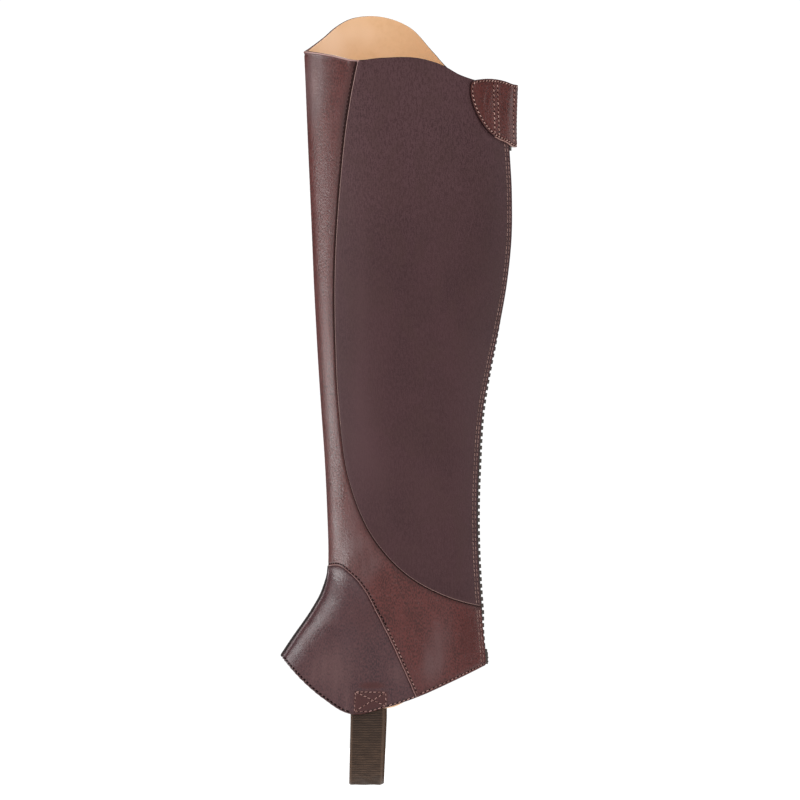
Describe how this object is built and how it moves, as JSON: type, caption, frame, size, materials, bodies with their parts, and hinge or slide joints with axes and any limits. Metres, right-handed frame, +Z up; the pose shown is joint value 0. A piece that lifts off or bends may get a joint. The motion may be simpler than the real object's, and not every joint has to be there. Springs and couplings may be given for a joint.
{
  "type": "half chap",
  "caption": "Knee-high leather half chap, hollow as worn: stiff shin strip, soft calf panels, back zip with a snap tab, high outer rim and an elastic under the foot.",
  "frame": {"origin": "inside the calf, on the zip's plane, where the wearer's leg holds the chap up", "axes": "+Z up the leg; +X from the toe to the zip at the back; +Y from the inner side to the outer side of the right leg"},
  "size_m": [0.1666, 0.1057, 0.5376],
  "materials": {
    "smooth_leather": "semi-gloss, fine grain",
    "soft_leather": "matt, very fine grain",
    "tan_lining": "matt pigskin",
    "piping": "satin",
    "zip_tape": "herringbone tape",
    "zip_resin": "moulded resin",
    "dark_metal": "blackened, satin",
    "elastic": "ribbed woven elastic",
    "thread": "waxed sewing thread"
  },
  "bodies": {
    "root": {"shin_panel": "smooth_leather", "inner_vamp": "smooth_leather", "outer_vamp": "smooth_leather", "snap_tab": "smooth_leather", "inner_calf_panel": "soft_leather", "outer_calf_panel": "soft_leather", "lining": "tan_lining", "instep_piping": "piping", "inner_zip_tape": "zip_tape", "outer_zip_tape": "zip_tape", "zip_chain": "zip_resin", "zip_box": "zip_resin", "zip_slider": "dark_metal", "zip_pull": "dark_metal", "snap_cap": "dark_metal", "foot_strap": "elastic"}
  },
  "joints": []
}
